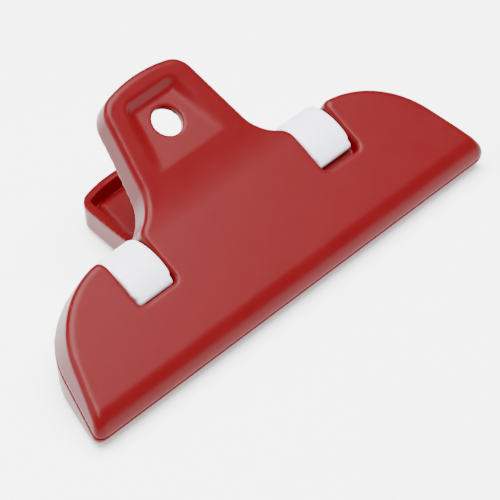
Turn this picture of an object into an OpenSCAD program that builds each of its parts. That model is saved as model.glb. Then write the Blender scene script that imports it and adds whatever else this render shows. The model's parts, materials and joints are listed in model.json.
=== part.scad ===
// Bag clip: two moulded jaws that rock on a bead, held shut by two C-shaped springs.
//
// Clip frame, in which everything is drawn: X runs along the jaws, Y from the lips to the
// handles, and Z out of the closed seam, with the front jaw on +Z. A jaw's own outline and
// thickness are drawn in its plate frame, which leans off the seam by plate_lean: X along the
// jaw, Y up the plate and Z out of its outer face. The finished clip is laid on its back.

/* [Jaws] */
// Length of the jaws along the lips
jaw_l = 110; // [100:1:130]
// Half the thickness of the closed clip at the lips
lip_half = 3.25; // [3:0.25:4.5]
// Angle between each plate and the seam
plate_lean = 15; // [13:0.25:16]
// Radius rolled onto the lower edge of each jaw
lip_r = 5.5; // [4:0.25:6]
// Height of the wings above the lips
wing_h = 27.5; // [26.5:0.25:29]
// Radius of the wings' round shoulders
wing_r = 21; // [18:0.25:23]
// Lean of the wings' straight ends
wing_lean = 20; // [12:0.5:22]
// Height of the shoulders beside the spring channels
shoulder_h = 27.4; // [26.5:0.1:28]
// Thickness of the moulding
shell_t = 2; // [1.5:0.1:2.5]

/* [Handles] */
// Distance from the lips to the tip of the handle, along the plate
handle_l = 53.3; // [50:0.1:60]
// Height at which the handle leaves the shoulders
neck_h = 28.7; // [28.2:0.1:29.5]
// Width of the handle where it leaves the shoulders
handle_root_w = 31; // [29:0.1:33]
// Width of the handle at its tip
handle_tip_w = 21.3; // [18:0.1:26]
// Angle by which the handle flares off the plate
handle_flare = 7; // [5:0.25:9]
// Depth of the skirt round the handle
handle_skirt = 6.5; // [5:0.25:7]
// Radius of the arched tip
tip_r = 32; // [24:1:60]
// Radius of the tip's two corners
tip_corner_r = 3; // [1:0.25:5]
// Radius of the neck between handle and plate
neck_r = 5; // [3:0.25:6]

/* [Finger dish] */
// Width of the dish across its top
dish_top_w = 10.4; // [8:0.1:13]
// Width of the dish at its open foot
dish_foot_w = 16; // [14:0.1:20]
// Land between the dish and the tip of the handle
dish_land = 5.5; // [4:0.25:8]
// Height of the dish
dish_h = 13; // [12:0.5:16]

/* [Hang hole] */
// Diameter of the hole through the dish
hole_d = 6.5; // [4:0.1:7]
// Distance from the hole to the tip of the handle
hole_from_tip = 11.1; // [10:0.1:13]

/* [Springs] */
// Width of each spring
spring_w = 9.8; // [8:0.1:12]
// Thickness of each spring
spring_t = 1.8; // [1.4:0.1:2]
// Distance between the springs' centres
spring_pitch = 51.6; // [48:0.1:56]
// Outer radius of the springs' arms
arm_r = 10.2; // [9.8:0.1:10.6]
// Outer radius of the springs' two back corners
back_r = 4.2; // [3.8:0.1:4.6]
// Height of the flat back of the springs above the lips
back_y = 28.7; // [28.4:0.1:29.2]
// Half the length of that flat back
back_half = 4.45; // [4.2:0.05:4.7]
// Radius of the bead along the end of each arm
hook_r = 1.1; // [0.8:0.1:1.3]
// How much higher the right spring sits in its channels
right_lift = 1.2; // [0:0.1:1.4]

/* [Pivot] */
// Height of the pivot above the lips
pivot_y = 23.5; // [22:0.1:24]
// Radius of the bead on the rear jaw
bead_r = 1.5; // [1.2:0.1:2]
// Half the thickness of the rib under the bead
rib_half = 1.1; // [0.8:0.1:1.1]
// Thickness of the saddle round the bead
saddle_t = 1.1; // [0.9:0.1:1.5]

/* [Fits] */
// Gap between each jaw's rim and the seam when the clip is shut
seam_gap = 0.1; // [0.05:0.05:0.3]
// Gap between the bead and its groove
bead_gap = 0.1; // [0.05:0.05:0.3]
// Gap on each side of a spring in its channel
side_gap = 0.2; // [0.1:0.05:0.5]
// Gap between a spring's back and the jaws
back_gap = 0.3; // [0.2:0.05:0.6]
// Gap between a spring's hooks and the channel floors
hook_gap = 0.15; // [0.1:0.05:0.4]

/* [Hidden] */
$fn = 64;
ARC_STEPS = 10;
WIDE_ARC_FN = 180;
FAR = 100;
RED = [0.66, 0.16, 0.16];
WHITE = [0.91, 0.92, 0.94];

function arc(c, r, from, to) =
    [for (i = [0 : ARC_STEPS]) let (t = from + (to - from) * i / ARC_STEPS) c + r * [cos(t), sin(t)]];

// The plate's outer face in the clip frame, and the handle's flare, which bends off it below the neck.
FLARE_BELOW_NECK = 0.5;
FLARE_R = 60;
function plate_z(y) = lip_half + y * tan(plate_lean);
flare_v = neck_h - FLARE_BELOW_NECK;
flare_run = FLARE_R * tan(handle_flare / 2);

// A plate-frame point (v up the plate, w out of it) in the clip frame's (y, z).
function in_clip(p) = [
    p[0] * cos(plate_lean) - p[1] * sin(plate_lean),
    lip_half + p[0] * sin(plate_lean) + p[1] * cos(plate_lean)
];
function flare_w(v) = max(0, v - flare_v) * tan(handle_flare);

// The handles meet at their tips when the clip is fully open.
handle_tip = in_clip([handle_l, flare_w(handle_l) - handle_skirt]);
open_half = atan2(handle_tip[1] - seam_gap, handle_tip[0] - pivot_y);

// Lying on its back, the clip rests on the rolled lip and the tip of the rear handle.
roll_c = [lip_r, plate_z(lip_r) - lip_r / cos(plate_lean)];
rest_tip = in_clip([handle_l, flare_w(handle_l)]);
rest_run = rest_tip - roll_c;
rest_angle = atan2(rest_run[1], rest_run[0]) - asin(lip_r / norm(rest_run));
rest_front = roll_c[0] * cos(rest_angle) - roll_c[1] * sin(rest_angle) - lip_r;
rest_back = rest_tip[0] * cos(rest_angle) + rest_tip[1] * sin(rest_angle);
rest_drop = roll_c[0] * sin(rest_angle) - roll_c[1] * cos(rest_angle) - lip_r;

// The rim runs along the seam to the pivot, then rises to the handle's skirt, which lets the jaws rock.
THROAT_ABOVE_FLARE = 2;
rim_start = [pivot_y, seam_gap];
throat_v = flare_v + THROAT_ABOVE_FLARE;
throat = in_clip([throat_v, flare_w(throat_v) - handle_skirt]);
rim_end = in_clip([FAR, flare_w(FAR) - handle_skirt]);

// Spring section: a flat back, two tight back corners and two arms that end in beads.
back_c = [back_y - back_r, back_half];
ARM_FROM = 68;
ARM_TO = 129;
arm_c = back_c - (arm_r - back_r) * [cos(ARM_FROM), sin(ARM_FROM)];
hook_c = arm_c + (arm_r - hook_r) * [cos(ARM_TO), sin(ARM_TO)];
function out_of_plate(p) = (p[1] - lip_half) * cos(plate_lean) - p[0] * sin(plate_lean);
function up_plate(p) = p[0] * cos(plate_lean) + (p[1] - lip_half) * sin(plate_lean);

// Each spring lies in a channel with a floor, which its beads press on.
channel_w = spring_w + 2 * side_gap;
channel_v = up_plate(hook_c) - hook_r - back_gap;
floor_w = out_of_plate(hook_c) - hook_r - hook_gap - right_lift * sin(plate_lean);
floor_end = back_c[0];
channel_back = back_y - spring_t - back_gap;
shoulder_x = (spring_pitch - channel_w) / 2;

// Side profile of a jaw, set in by some thickness. A cavity is left open through the rim.
function top_line(inset) = concat(
    arc(roll_c, lip_r - inset, 180 - asin(max(0, seam_gap - roll_c[1]) / lip_r), 90 + plate_lean),
    arc(in_clip([flare_v - flare_run, FLARE_R]), FLARE_R + inset,
        plate_lean - 90, plate_lean - 90 + handle_flare),
    [in_clip([FAR, flare_w(FAR) - inset / cos(handle_flare)])]
);
envelope = concat([[0, seam_gap]], top_line(0), [rim_end, throat, rim_start]);
hollow = concat([[shell_t, -FAR]], top_line(shell_t), [[FAR, -FAR]]);

// Channel section, grown by some thickness for its lining.
function channel(grow) = [
    in_clip([channel_v - grow, FAR]),
    in_clip([channel_v - grow, floor_w - grow]),
    [floor_end, in_clip([up_plate([floor_end, back_c[1]]), floor_w - grow])[1]],
    [channel_back - grow, back_c[1] - grow],
    [channel_back - grow, -FAR],
    [FAR, -FAR],
    [FAR, FAR]
];

// Extrudes a (y, z) section along X, centred.
module along_x(w) rotate([90, 0, 90]) translate([0, 0, -w / 2]) linear_extrude(w) children();

// Moves plate-frame shapes onto the front jaw's plate.
module on_plate() translate([0, 0, lip_half]) rotate([plate_lean, 0, 0]) children();

// Lays the clip on its back, with its origin under the middle of it.
module laid_down()
    translate([0, -(rest_front + rest_back) / 2, -rest_drop])
        rotate([rest_angle, 0, 0])
            children();

module both_sides() {
    children();
    mirror([1, 0, 0]) children();
}

// One wing: a round shoulder and a straight end that leans in from the lip.
module wing() {
    end_x = jaw_l / 2;
    c_y = wing_h - wing_r;
    c_x = end_x - (wing_r + c_y * sin(wing_lean)) / cos(wing_lean);
    foot = -lip_half * sin(plate_lean);
    tangent = [c_x, c_y] + wing_r * [cos(wing_lean), sin(wing_lean)];
    translate([c_x, c_y]) circle(wing_r, $fn = WIDE_ARC_FN);
    polygon([[0, foot], [end_x - foot * tan(wing_lean), foot], tangent, [c_x, c_y], [0, c_y]]);
}

// Handle and shoulders, arched at the tip.
module handle() {
    root = handle_root_w / 2;
    tip = handle_tip_w / 2;
    intersection() {
        polygon([[-root, neck_h], [-tip, handle_l], [tip, handle_l], [root, neck_h]]);
        translate([0, handle_l - tip_r]) circle(tip_r, $fn = WIDE_ARC_FN);
    }
    polygon([[-shoulder_x, 0], [-shoulder_x, shoulder_h], [-root, neck_h],
             [root, neck_h], [shoulder_x, shoulder_h], [shoulder_x, 0]]);
}

// Outline of a jaw on its plate.
module plan()
    offset(tip_corner_r) offset(delta = -tip_corner_r)
        offset(-neck_r) offset(delta = neck_r)
            union() {
                both_sides() wing();
                handle();
            }

// Finger dish: a flat floor parallel to the plate, which the flaring handle rises round.
DISH_FOOT_RISE = 1.3;
dish_top = handle_l - dish_land;
dish_w = flare_w(dish_top - dish_h + DISH_FOOT_RISE);
module dish(grow) {
    foot = dish_foot_w / 2 + grow;
    top = dish_top_w / 2 + grow;
    polygon([[-foot, dish_top - dish_h - grow], [-top, dish_top + grow],
             [top, dish_top + grow], [foot, dish_top - dish_h - grow]]);
}

// A jaw's shell, drawn as the front one: skirted plate, spring channels, dish and hang hole.
module jaw_shell() {
    difference() {
        intersection() {
            along_x(jaw_l + 1) polygon(envelope);
            on_plate() translate([0, 0, -FAR / 2]) linear_extrude(FAR) plan();
        }
        difference() {
            intersection() {
                along_x(jaw_l) polygon(hollow);
                on_plate() translate([0, 0, -FAR / 2]) linear_extrude(FAR) offset(delta = -shell_t) plan();
            }
            both_sides()
                translate([spring_pitch / 2, 0, 0]) along_x(channel_w + 2 * shell_t) polygon(channel(shell_t));
            on_plate() translate([0, 0, dish_w - shell_t]) linear_extrude(FAR) dish(shell_t);
        }
        both_sides() translate([spring_pitch / 2, 0, 0]) along_x(channel_w) polygon(channel(0));
        on_plate() translate([0, 0, dish_w]) linear_extrude(FAR) dish(0);
        on_plate() translate([0, handle_l - hole_from_tip, dish_w - FAR / 2]) cylinder(h = FAR, d = hole_d);
    }
}

// Cross rib from the plate down towards the seam, between the two channels.
rib_w = 2 * (shoulder_x - shell_t) - 2 * side_gap;
module rib(half, foot)
    translate([-rib_w / 2, pivot_y - half, foot])
        cube([rib_w, 2 * half, plate_z(pivot_y) - shell_t / 2 - half * tan(plate_lean) - foot]);

module pivot_rod(r) translate([-rib_w / 2, pivot_y, 0]) rotate([0, 90, 0]) cylinder(h = rib_w, r = r);

module rear_jaw()
    color(RED) laid_down() mirror([0, 0, 1]) {
        jaw_shell();
        rib(rib_half, 0);
        pivot_rod(bead_r);
    }

module front_jaw()
    color(RED) laid_down() {
        jaw_shell();
        difference() {
            rib(bead_r + saddle_t, bead_r / 2);
            pivot_rod(bead_r + bead_gap);
        }
    }

module spring(side, lift)
    color(WHITE) laid_down() translate([side * spring_pitch / 2, lift, 0]) {
        arm_out = arc(arm_c, arm_r, ARM_TO, ARM_FROM);
        arm_in = arc(arm_c, arm_r - spring_t, ARM_FROM, ARM_TO);
        back_out = arc(back_c, back_r, ARM_FROM, 0);
        back_in = arc(back_c, back_r - spring_t, 0, ARM_FROM);
        half = concat([[back_y - spring_t, 0]], back_in, arm_in, arm_out, back_out, [[back_y, 0]]);
        for (flip = [0, 1]) mirror([0, 0, flip]) {
            along_x(spring_w) polygon(half);
            along_x(spring_w) translate(hook_c) circle(hook_r);
        }
    }
module left_spring() spring(-1, 0);
module right_spring() spring(1, right_lift);

rear_jaw();
front_jaw();
left_spring();
right_spring();
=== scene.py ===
"""Bag clip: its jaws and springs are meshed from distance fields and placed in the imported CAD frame.

Shapes are worked out in millimetres in the clip frame: X along the jaws, Y from the lips to the
handles, Z out of the closed seam. A jaw's plate leans off the seam, and its plate frame has X along
the jaw, V up the plate and W out of its outer face. A distance field is negative inside its shape.
"""
import json
import math

import bpy
import numpy as np
from mathutils import Matrix, Vector


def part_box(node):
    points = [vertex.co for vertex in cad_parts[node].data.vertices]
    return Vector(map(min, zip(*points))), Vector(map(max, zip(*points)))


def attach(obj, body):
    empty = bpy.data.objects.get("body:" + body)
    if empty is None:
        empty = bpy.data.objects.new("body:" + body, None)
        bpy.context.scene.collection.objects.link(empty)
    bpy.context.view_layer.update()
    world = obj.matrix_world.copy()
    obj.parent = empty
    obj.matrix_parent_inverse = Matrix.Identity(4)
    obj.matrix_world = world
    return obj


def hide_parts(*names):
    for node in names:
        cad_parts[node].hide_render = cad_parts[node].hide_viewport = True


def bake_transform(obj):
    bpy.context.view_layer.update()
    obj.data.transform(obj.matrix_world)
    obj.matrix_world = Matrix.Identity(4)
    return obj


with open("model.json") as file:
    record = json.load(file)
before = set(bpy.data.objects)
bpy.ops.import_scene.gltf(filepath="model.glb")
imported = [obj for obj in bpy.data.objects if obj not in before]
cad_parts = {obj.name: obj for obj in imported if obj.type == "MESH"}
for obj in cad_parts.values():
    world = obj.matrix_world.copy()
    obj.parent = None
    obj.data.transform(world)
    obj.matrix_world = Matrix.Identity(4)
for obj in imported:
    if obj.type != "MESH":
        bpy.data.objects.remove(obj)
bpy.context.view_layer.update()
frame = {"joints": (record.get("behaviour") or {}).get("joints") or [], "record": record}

# ---------------------------------------------------------------- what the frame says
MM = 0.001
mounts = {m["name"]: m for m in frame["record"]["mounts"]}
hinge = next(j for j in frame["joints"] if j["name"] == "jaw_hinge")
LIPS = Vector(mounts["lips"]["pos_m"])
PIVOT = Vector(hinge["pos_m"])
CLIP_X = Vector((1, 0, 0))
CLIP_Y = (PIVOT - LIPS).normalized()
CLIP_Z = CLIP_X.cross(CLIP_Y)
# A plate's outer face is LIP_HALF off the seam at the lips and leans away from it.
plate_out = Vector(mounts["front_plate"]["axis"])
LEAN = CLIP_Z.angle(plate_out)
LIP_HALF = (Vector(mounts["front_plate"]["pos_m"]) - LIPS).dot(plate_out) / math.cos(LEAN) / MM
PIVOT_Y = (PIVOT - LIPS).length / MM
hole_at = Vector(mounts["front_hang_hole"]["pos_m"]) - LIPS
HOLE_R = mounts["front_hang_hole"]["dims"]["r_mm"]
left_box, right_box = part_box("left_spring"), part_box("right_spring")
SPRING_W = (right_box[1].x - right_box[0].x) / MM
SPRING_X = (right_box[1].x + right_box[0].x) / 2 / MM
RIGHT_LIFT = (right_box[1] - left_box[1]).dot(CLIP_Y) / MM

# ---------------------------------------------------------------- the sample grids, mm
JAW_STEP = 0.36
SPRING_STEP = 0.3
MARGIN = 1.0
# How far a jaw's grid reaches in from its plate, and a spring's beyond the middle of its hooks.
JAW_DEPTH = 13.0
HOOK_ROOM = 3.0

# ---------------------------------------------------------------- the jaws' sizes, mm
JAW_L = 110.0
SHELL_T = 2.0
DRAFT = math.radians(1.0)

LIP_R = 5.5
LIP_CORNER_R = 1.8
FOOT_CORNER_R = 2.6
EDGE_R = 1.4
RIM_R = 0.3
# The plate's edge radius grows into the lip's between these heights.
LIP_EDGE_FROM = 2.0
LIP_EDGE_TO = 8.0

WING_H = 27.5
WING_R = 21.0
WING_LEAN = math.radians(20)
SHOULDER_H = 27.4
NECK_H = 28.7
NECK_R = 5.0

HANDLE_L = 53.3
# Half widths of the handle at its root and tip.
HANDLE_ROOT = 15.5
HANDLE_TIP = 10.65
TIP_R = 32.0
TIP_CORNER_R = 2.6
FLARE = math.radians(7)
FLARE_BELOW_NECK = 0.5
FLARE_V = NECK_H - FLARE_BELOW_NECK
FLARE_R = 60.0
SKIRT = 6.5
THROAT_ABOVE_FLARE = 2.0
THROAT_V = FLARE_V + THROAT_ABOVE_FLARE
THROAT_R = 3.0
RIM_TURN_R = 1.0

DISH_TOP = 48.3
DISH_H = 13.5
DISH_W = 0.75
DISH_TOP_HALF = 6.0
DISH_FOOT_HALF = 8.9
DISH_WALL = 2.8
DISH_CORNER_R = 1.0

# A notch's edges are rounded more where it meets the outline, within this reach and over this run.
NOTCH_R = 0.7
NOTCH_CORNER_R = 1.4
APEX_R = 1.6
APEX_REACH = 2.5
APEX_RUN = 2.0

BEAD_R = 1.5
RIB_HALF = 1.1
RIB_END_GAP = 0.9
SADDLE_T = 1.1

SEAM_GAP = 0.1
SIDE_GAP = 0.2
BEAD_GAP = 0.1
BACK_GAP = 0.3
HOOK_GAP = 0.15

# ---------------------------------------------------------------- the springs' sizes, mm
SPRING_T = 1.8
SPRING_EDGE_R = 0.6
ARM_CORNER_R = 2.0
# The band steps down a little along both its edges, and its beads stop short of them.
STEP_IN = 0.9
STEP_DEEP = 0.15
STEP_RUN = 0.25
BEAD_IN = 0.4

# Section: a flat back, two back corners and two arms that end in beads.
ARM_R = 10.2
BACK_R = 4.2
BACK_Y = 28.7
BACK_HALF = 4.45
HOOK_R = 1.1
ARM_FROM = math.radians(68)
ARM_TO = math.radians(129)
BACK_C = np.array([BACK_Y - BACK_R, BACK_HALF])
ARM_C = BACK_C - (ARM_R - BACK_R) * np.array([math.cos(ARM_FROM), math.sin(ARM_FROM)])
HOOK_C = ARM_C + (ARM_R - HOOK_R) * np.array([math.cos(ARM_TO), math.sin(ARM_TO)])


def to_clip(v, w):
    """Plate frame (v, w) in the clip frame's (y, z)."""
    return (
        v * math.cos(LEAN) - w * math.sin(LEAN),
        LIP_HALF + v * math.sin(LEAN) + w * math.cos(LEAN),
    )


def to_plate(y, z):
    """Clip frame (y, z) in the plate frame's (v, w)."""
    return (
        y * math.cos(LEAN) + (z - LIP_HALF) * math.sin(LEAN),
        (z - LIP_HALF) * math.cos(LEAN) - y * math.sin(LEAN),
    )


FOOT_V = to_plate(0, 0)[0]
HOLE_V = to_plate(hole_at.dot(CLIP_Y) / MM, hole_at.dot(CLIP_Z) / MM)[0]
CHANNEL_HALF = SPRING_W / 2 + SIDE_GAP
SHOULDER_X = SPRING_X - CHANNEL_HALF
CHANNEL_V = to_plate(*HOOK_C)[0] - HOOK_R - BACK_GAP
CHANNEL_BACK = BACK_Y - SPRING_T - BACK_GAP
FLOOR_W = to_plate(*HOOK_C)[1] - HOOK_R - HOOK_GAP - RIGHT_LIFT * math.sin(LEAN)
ROLL_C = np.array([LIP_R, LIP_HALF + LIP_R * math.tan(LEAN) - LIP_R / math.cos(LEAN)])


# ---------------------------------------------------------------- fields
def round_max(a, b, r):
    """Negative where both fields are, with radius r on the edge between them."""
    return np.minimum(np.maximum(a, b), -r) + np.hypot(np.maximum(a + r, 0), np.maximum(b + r, 0))


def round_min(a, b, r):
    """Negative where either field is, with a fillet of radius r between them."""
    return -round_max(-a, -b, r)


def smooth(t):
    """0 below 0, 1 above 1 and a smooth step between."""
    t = np.clip(t, 0, 1)
    return t * t * (3 - 2 * t)


def line(y, z, a, b):
    """Distance from the line through a and b, negative on its left."""
    dy, dz = b[0] - a[0], b[1] - a[1]
    return ((y - a[0]) * dz - (z - a[1]) * dy) / math.hypot(dy, dz)


def plan(x, v):
    """Outline of a jaw on its plate: two wings, two shoulders and the handle. x is not negative."""
    centre_v = WING_H - WING_R
    centre_x = JAW_L / 2 - (WING_R + centre_v * math.sin(WING_LEAN)) / math.cos(WING_LEAN)
    out, up = np.maximum(x - centre_x, 0), v - centre_v
    along = up * math.cos(WING_LEAN) - out * math.sin(WING_LEAN)
    end = out * math.cos(WING_LEAN) + up * math.sin(WING_LEAN) - WING_R
    wing = np.where(along > 0, np.hypot(out, up) - WING_R, end)
    shoulder = line(x, v, (HANDLE_ROOT, NECK_H), (SHOULDER_X, SHOULDER_H))
    side = line(x, v, (HANDLE_ROOT, NECK_H), (HANDLE_TIP, HANDLE_L))
    tip = np.hypot(x, v - HANDLE_L + TIP_R) - TIP_R
    handle = round_max(side, tip, TIP_CORNER_R)
    body = np.where(x < SPRING_X, -shoulder, wing)
    body = round_max(body, FOOT_V - LIP_CORNER_R - v, FOOT_CORNER_R + LIP_CORNER_R)
    return round_min(handle, body, NECK_R)


def dish(x, v, grow):
    """How deep the finger dish lies below the handle's outer face. Its outline runs halfway up its walls."""
    side = line(x, v, (DISH_FOOT_HALF, DISH_TOP - DISH_H), (DISH_TOP_HALF, DISH_TOP))
    inside = -round_max(side - grow, v - DISH_TOP - grow, DISH_CORNER_R)
    return np.maximum(rise(v) - DISH_W, 0) * smooth(inside / DISH_WALL + 0.5)


def rise(v):
    """How far the outer face has flared off the plate."""
    run = FLARE_R * math.tan(FLARE / 2)
    bend = np.clip(v - FLARE_V + run, 0, FLARE_R * math.sin(FLARE))
    beyond = np.maximum(v - FLARE_V + run - FLARE_R * math.sin(FLARE), 0)
    return FLARE_R - np.sqrt(FLARE_R**2 - bend**2) + beyond * math.tan(FLARE)


def outer_face(v, w):
    """Distance out of the plate, the flared handle and the rolled lip."""
    y, z = to_clip(v, w)
    roll = np.hypot(y - ROLL_C[0], z - ROLL_C[1]) - LIP_R
    flat = (w - rise(v)) * np.where(v > FLARE_V, math.cos(FLARE), 1)
    return np.where(v < to_plate(*ROLL_C)[0], roll, flat)


def rim(y, z):
    """Distance below the rim, which follows the seam to the pivot and then rises to the handle's skirt."""
    start = (PIVOT_Y, SEAM_GAP)
    throat = to_clip(THROAT_V, rise(THROAT_V) - SKIRT)
    tip = to_clip(HANDLE_L, rise(HANDLE_L) - SKIRT)
    handle = round_min(line(y, z, start, throat), line(y, z, throat, tip), THROAT_R)
    return round_max(SEAM_GAP - z, handle, RIM_TURN_R)


def channel(y, z):
    """The spring's channel from the side: open outwards and at the back, over a floor."""
    v, w = to_plate(y, z)
    floor_v = to_plate(BACK_C[0], BACK_C[1])[0]
    floor_end = (BACK_C[0], to_clip(floor_v, FLOOR_W)[1])
    back = (CHANNEL_BACK, BACK_HALF)
    return np.minimum(FLOOR_W - w, np.minimum(line(y, z, floor_end, back), CHANNEL_BACK - y))


def skin(x, v, w, outline):
    """A jaw's outside, drafted towards the seam, and the hollow that its shell encloses."""
    y, z = to_clip(v, w)
    face = outer_face(v, w)
    drafted = outline + math.tan(DRAFT) * np.minimum(w, 0)
    edge_r = EDGE_R + (LIP_CORNER_R - EDGE_R) * smooth((LIP_EDGE_TO - v) / (LIP_EDGE_TO - LIP_EDGE_FROM))
    outside = round_max(drafted, face + dish(x, v, 0), edge_r)
    outside = round_max(outside, rim(y, z), RIM_R)
    hollow = round_max(drafted + SHELL_T, face + SHELL_T + dish(x, v, SHELL_T), SHELL_T / 2)
    return outside, hollow


def add_pivot(solid, outside, x, y, z, has_bead):
    """The jaw with its cross rib, which carries the bead or the saddle with the groove."""
    half, foot = (RIB_HALF, 0) if has_bead else (BEAD_R + SADDLE_T, BEAD_R / 2)
    between = x - (SHOULDER_X - SHELL_T - RIB_END_GAP)
    rib = np.maximum(np.maximum(np.abs(y - PIVOT_Y) - half, foot - z), between)
    solid = round_min(solid, np.maximum(rib, outside + SHELL_T / 2), RIM_R)
    from_pivot = np.hypot(y - PIVOT_Y, z)
    if has_bead:
        return round_min(solid, round_max(from_pivot - BEAD_R, between, RIM_R), RIM_R)
    return round_max(solid, -np.maximum(from_pivot - BEAD_R - BEAD_GAP, between), RIM_R / 2)


def jaw_field(x, v, w, has_bead):
    """A jaw: its shell, two floored channels, the pivot rib, the notches above the channels and the hole."""
    y, z = to_clip(v, w)
    outline = plan(x, v)
    outside, hollow = skin(x, v, w, outline)
    beside = np.abs(x - SPRING_X) - CHANNEL_HALF
    slot = channel(y, z)
    lining = np.maximum(beside, np.maximum(slot, CHANNEL_V - v)) - SHELL_T
    solid = round_max(outside, -round_max(hollow, -lining, RIM_R), RIM_R)
    solid = add_pivot(solid, outside, x, y, z, has_bead)
    notch_r = NOTCH_R + (APEX_R - NOTCH_R) * smooth((outline + APEX_REACH) / APEX_RUN)
    notch = np.maximum(round_max(beside, CHANNEL_V - v, NOTCH_CORNER_R), slot)
    solid = round_max(solid, -notch, notch_r)
    return round_max(solid, HOLE_R - np.hypot(x, v - HOLE_V), RIM_R)


def spring_field(x, y, z):
    """A spring: a band bent into a C, with rounded edges, and a bead along the end of each arm."""
    z = np.abs(z)
    turn = np.arctan2(z - ARM_C[1], y - ARM_C[0])
    flat = np.abs(y - BACK_Y + SPRING_T / 2)
    corner = np.abs(np.hypot(y - BACK_C[0], z - BACK_C[1]) - BACK_R + SPRING_T / 2)
    arm = np.abs(np.hypot(y - ARM_C[0], z - ARM_C[1]) - ARM_R + SPRING_T / 2)
    band = np.where(turn > ARM_FROM, arm, np.where(z > BACK_HALF, corner, flat)) - SPRING_T / 2
    side = np.abs(x) - SPRING_W / 2
    edge = round_max(side, (turn - ARM_TO) * ARM_R, ARM_CORNER_R)
    band = band + STEP_DEEP * smooth((side + STEP_IN) / STEP_RUN)
    bead = np.hypot(y - HOOK_C[0], z - HOOK_C[1]) - HOOK_R
    bead = round_max(bead, side + BEAD_IN, SPRING_EDGE_R)
    return round_min(round_max(band, edge, SPRING_EDGE_R), bead, RIM_R)


# ---------------------------------------------------------------- meshes
def surface_net(field, low, step):
    """Quads round the solid where field is negative, with a vertex in each cell its surface crosses."""
    cells = np.array(field.shape) - 1
    quads, crossings = [], []
    for axis in range(3):
        near = np.take(field, np.arange(cells[axis]), axis)
        far = np.take(field, np.arange(1, cells[axis] + 1), axis)
        at = np.argwhere((near < 0) != (far < 0))
        a, b = near[tuple(at.T)], far[tuple(at.T)]
        crossing = at.astype(float)
        crossing[:, axis] += a / (a - b)
        ring = np.repeat(at[:, None], 4, axis=1)
        ring[:, 1:3, (axis + 1) % 3] -= 1
        ring[:, 2:4, (axis + 2) % 3] -= 1
        quad = np.ravel_multi_index(tuple(ring.reshape(-1, 3).T), cells).reshape(-1, 4)
        quad[b < 0] = quad[b < 0, ::-1]
        quads.append(quad)
        crossings.append(np.repeat(crossing, 4, axis=0))
    crossings = np.concatenate(crossings)
    index = np.unique(np.concatenate(quads).ravel(), return_inverse=True)[1]
    share = np.bincount(index)
    points = np.stack([np.bincount(index, crossings[:, i]) / share for i in range(3)], axis=1)
    return low + step * points, index.reshape(-1, 4)


def grid(low, high, step):
    """Sample lines that cover a box, shaped so that fields of fewer axes broadcast."""
    lines = [np.arange(a, b + step, step) for a, b in zip(low, high)]
    return np.meshgrid(*lines, indexing="ij", sparse=True)


def to_row(points):
    """Clip frame points in millimetres in the row frame in metres."""
    axes = np.array([CLIP_X, CLIP_Y, CLIP_Z])
    return np.array(LIPS) + MM * (points @ axes)


def make_piece(name, points, quads, material):
    """A smooth mesh object from clip frame points."""
    mesh = bpy.data.meshes.new(name)
    mesh.from_pydata(to_row(points).tolist(), [], quads.tolist())
    mesh.shade_smooth()
    mesh.materials.append(material)
    piece = bpy.data.objects.new(name, mesh)
    bpy.context.scene.collection.objects.link(piece)
    return piece


def make_jaw(name, node, material, is_rear):
    """One jaw, from a half field mirrored in X. The rear one is turned over the seam."""
    low = (0, -MARGIN, -JAW_DEPTH)
    high = (JAW_L / 2 + MARGIN, HANDLE_L + MARGIN, rise(HANDLE_L) + MARGIN)
    x, v, w = grid(low, high, JAW_STEP)
    half = jaw_field(x, v, w, is_rear)
    field = np.concatenate([half[:0:-1], half])
    points, quads = surface_net(field, np.array([-x.max(), low[1], low[2]]), JAW_STEP)
    y, z = to_clip(points[:, 1], points[:, 2])
    if is_rear:
        z, quads = -z, quads[:, ::-1]
    piece = make_piece(name, np.stack([points[:, 0], y, z], axis=1), quads, material)
    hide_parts(node)
    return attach(piece, node)


def make_spring(name, node, material, centre_x, lift):
    """One spring, which bends from the rear jaw to the front one across its back and into its corners."""
    reach = ARM_C[1] + ARM_R + MARGIN
    low = (-SPRING_W / 2 - MARGIN, HOOK_C[0] - HOOK_ROOM, -reach)
    x, y, z = grid(low, (-low[0], BACK_Y + MARGIN, reach), SPRING_STEP)
    points, quads = surface_net(spring_field(x, y, z), np.array(low), SPRING_STEP)
    points = points + [centre_x, lift, 0]
    piece = make_piece(name, points, quads, material)
    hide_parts(node)
    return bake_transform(piece)


# ---------------------------------------------------------------- materials
# The red gives off a little light of its own, in place of what a translucent wall carries into its hollows.
# Its low specular level isn't physical either: both are tuned against the photo.
RED_DEEP = (0.046, 0.0022, 0.0030, 1)
RED_PALE = (0.052, 0.0026, 0.0035, 1)
# A paler, more orange red, painted on sharp convex edges as an edge highlight.
RED_EDGE_HIGHLIGHT = (0.13, 0.010, 0.007, 1)
RED_GLOW = (1, 0, 0.01, 1)
# Pointiness at which sharp convex edges start to take the painted edge highlight and take it in full, and
# how much of its colour they take.
EDGE_STARTS = 0.52
EDGE_FULL = 0.58
EDGE_HIGHLIGHT_SHARE = 0.25
# The range that most of a noise's values lie in.
NOISE_LOW = 0.3
NOISE_HIGH = 0.7
ACETAL_DEEP = (0.60, 0.61, 0.66, 1)
ACETAL_PALE = (0.66, 0.67, 0.72, 1)
SHEET_DEEP = (0.88, 0.88, 0.88, 1)
SHEET_PALE = (0.90, 0.90, 0.90, 1)
SHEET_GLOW = (1, 1, 1, 1)


def new_material(name):
    """An empty node material with its Principled shader, and a function that adds a linked node."""
    material = bpy.data.materials.new(name)
    material.use_nodes = True
    tree = material.node_tree
    shader = tree.nodes["Principled BSDF"]

    def add(kind, inputs=(), **settings):
        node = tree.nodes.new(kind)
        for key, value in settings.items():
            setattr(node, key, value)
        for socket, value in dict(inputs).items():
            if isinstance(value, bpy.types.NodeSocket):
                tree.links.new(value, node.inputs[socket])
            else:
                node.inputs[socket].default_value = value
        return node

    def link(socket, value):
        tree.links.new(value, shader.inputs[socket])

    return material, shader, add, link


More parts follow.
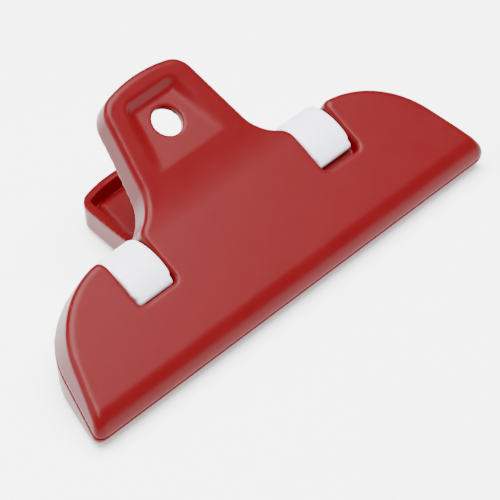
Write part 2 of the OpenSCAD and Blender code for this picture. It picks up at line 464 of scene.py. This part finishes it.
def noise(add, where, scale, detail):
    """Fractal noise in the object's own metres."""
    return add("ShaderNodeTexNoise", {"Vector": where, "Scale": scale, "Detail": detail}).outputs["Fac"]


def spread(add, value, low, high, to_low, to_high):
    """Maps a value from one range to another."""
    inputs = {"Value": value, "From Min": low, "From Max": high, "To Min": to_low, "To Max": to_high}
    return add("ShaderNodeMapRange", inputs).outputs["Result"]


def mix(add, factor, first, second):
    """Blends two colours, or a colour and another node's, by the factor."""
    colour_a, colour_b, colour_out = 6, 7, 2
    inputs = {"Factor": factor, colour_a: first, colour_b: second}
    return add("ShaderNodeMix", inputs, data_type="RGBA").outputs[colour_out]


def bump(add, height, strength, distance):
    """A surface normal roughened by a height."""
    return add("ShaderNodeBump", {"Height": height, "Strength": strength, "Distance": distance}).outputs[0]


def moulded_red():
    """Satin red plastic: a fine spark-eroded skin, faint flow clouding and convex edges painted paler as an
    edge highlight.
    """
    material, shader, add, link = new_material("jaw_plastic")
    where = add("ShaderNodeTexCoord").outputs["Object"]
    clouded = mix(add, noise(add, where, scale=60, detail=3), RED_DEEP, RED_PALE)
    convex = add("ShaderNodeNewGeometry").outputs["Pointiness"]
    # Sharp convex edges are painted paler: a painted edge highlight.
    edge_highlight = spread(add, convex, EDGE_STARTS, EDGE_FULL, to_low=0, to_high=EDGE_HIGHLIGHT_SHARE)
    sheen = noise(add, where, scale=220, detail=4)
    skin_noise = noise(add, where, scale=2600, detail=2)
    link("Base Color", mix(add, edge_highlight, clouded, RED_EDGE_HIGHLIGHT))
    link("Roughness", spread(add, sheen, NOISE_LOW, NOISE_HIGH, to_low=0.28, to_high=0.35))
    link("Normal", bump(add, skin_noise, strength=0.12, distance=0.00004))
    shader.inputs["IOR"].default_value = 1.49
    shader.inputs["Specular IOR Level"].default_value = 0.09
    shader.inputs["Emission Color"].default_value = RED_GLOW
    shader.inputs["Emission Strength"].default_value = 0.11
    return material


def natural_acetal():
    """White acetal: slightly translucent and waxy, with a fine moulded skin."""
    material, shader, add, link = new_material("spring_plastic")
    where = add("ShaderNodeTexCoord").outputs["Object"]
    link("Base Color", mix(add, noise(add, where, scale=150, detail=3), ACETAL_DEEP, ACETAL_PALE))
    sheen = noise(add, where, scale=400, detail=3)
    skin_noise = noise(add, where, scale=3000, detail=2)
    link("Roughness", spread(add, sheen, NOISE_LOW, NOISE_HIGH, to_low=0.38, to_high=0.48))
    link("Normal", bump(add, skin_noise, strength=0.1, distance=0.00003))
    shader.inputs["Subsurface Weight"].default_value = 0.35
    shader.inputs["Subsurface Radius"].default_value = (0.0012, 0.0012, 0.0013)
    shader.inputs["Subsurface Scale"].default_value = 1.0
    return material


def studio_white():
    """The floor: a matte pale sheet of faintly uneven tone, which gives off some light of its own."""
    material, shader, add, link = new_material("studio_floor")
    where = add("ShaderNodeTexCoord").outputs["Object"]
    link("Base Color", mix(add, noise(add, where, scale=30, detail=2), SHEET_DEEP, SHEET_PALE))
    shader.inputs["Roughness"].default_value = 0.9
    shader.inputs["Emission Color"].default_value = SHEET_GLOW
    shader.inputs["Emission Strength"].default_value = 0.6
    return material


# ---------------------------------------------------------------- studio
CAMERA_TARGET = Vector((2.14, -10.88, 3.94)) * MM
CAMERA_AZIMUTH = math.radians(-130.91)
CAMERA_ELEVATION = math.radians(40.24)
CAMERA_ROLL = math.radians(-6.94)
CAMERA_DISTANCE = 0.6375
CAMERA_LENS = 230.0
CAMERA_REACH = 20.0
FLOOR_HALF = 1.5
SKY_COLOUR = (0.95, 0.97, 1.0, 1)
SKY_STRENGTH = 0.1


def aim(target, azimuth, elevation, distance, roll):
    """Placement of a camera that looks at the target from that direction, turned about its own axis."""
    out = Vector((math.cos(azimuth) * math.cos(elevation), math.sin(azimuth) * math.cos(elevation),
                  math.sin(elevation)))
    turn = out.to_track_quat("Z", "Y").to_matrix().to_4x4()
    return Matrix.Translation(target + distance * out) @ turn @ Matrix.Rotation(roll, 4, "Z")


def make_camera():
    """The photo's view of the clip."""
    lens = bpy.data.cameras.new("camera")
    lens.lens = CAMERA_LENS
    lens.clip_end = CAMERA_REACH
    camera = bpy.data.objects.new("camera", lens)
    camera.matrix_world = aim(CAMERA_TARGET, CAMERA_AZIMUTH, CAMERA_ELEVATION, CAMERA_DISTANCE, CAMERA_ROLL)
    bpy.context.scene.collection.objects.link(camera)
    bpy.context.scene.camera = camera


def make_lamp(name, place, size, power):
    """A soft box of size (across, up) metres at a place in metres, facing the clip."""
    light = bpy.data.lights.new(name, "AREA")
    light.shape = "RECTANGLE"
    light.size, light.size_y = size
    light.energy = power
    lamp = bpy.data.objects.new(name, light)
    out = Vector(place) - CAMERA_TARGET
    lamp.matrix_world = Matrix.Translation(place) @ out.to_track_quat("Z", "Y").to_matrix().to_4x4()
    bpy.context.scene.collection.objects.link(lamp)


def make_floor(material):
    """The sheet that the clip lies on."""
    mesh = bpy.data.meshes.new("floor")
    corners = [(FLOOR_HALF * x, FLOOR_HALF * y, 0) for x, y in ((-1, -1), (1, -1), (1, 1), (-1, 1))]
    mesh.from_pydata(corners, [], [(0, 1, 2, 3)])
    mesh.materials.append(material)
    floor = bpy.data.objects.new("floor", mesh)
    bpy.context.scene.collection.objects.link(floor)


def make_world():
    """A faint even fill light."""
    world = bpy.data.worlds.new("studio")
    world.use_nodes = True
    background = world.node_tree.nodes["Background"]
    background.inputs["Color"].default_value = SKY_COLOUR
    background.inputs["Strength"].default_value = SKY_STRENGTH
    bpy.context.scene.world = world


red = moulded_red()
white = natural_acetal()
make_jaw("rear_jaw_moulding", "rear_jaw", red, True)
make_jaw("front_jaw_moulding", "front_jaw", red, False)
make_spring("left_spring_band", "left_spring", white, -SPRING_X, 0)
make_spring("right_spring_band", "right_spring", white, SPRING_X, RIGHT_LIFT)
make_camera()
make_floor(studio_white())
make_world()
make_lamp("overhead", place=(0.0, 0.0, 0.90), size=(1.0, 1.0), power=68)
make_lamp("back_left", place=(-0.80, 0.45, 0.55), size=(0.6, 0.4), power=8)
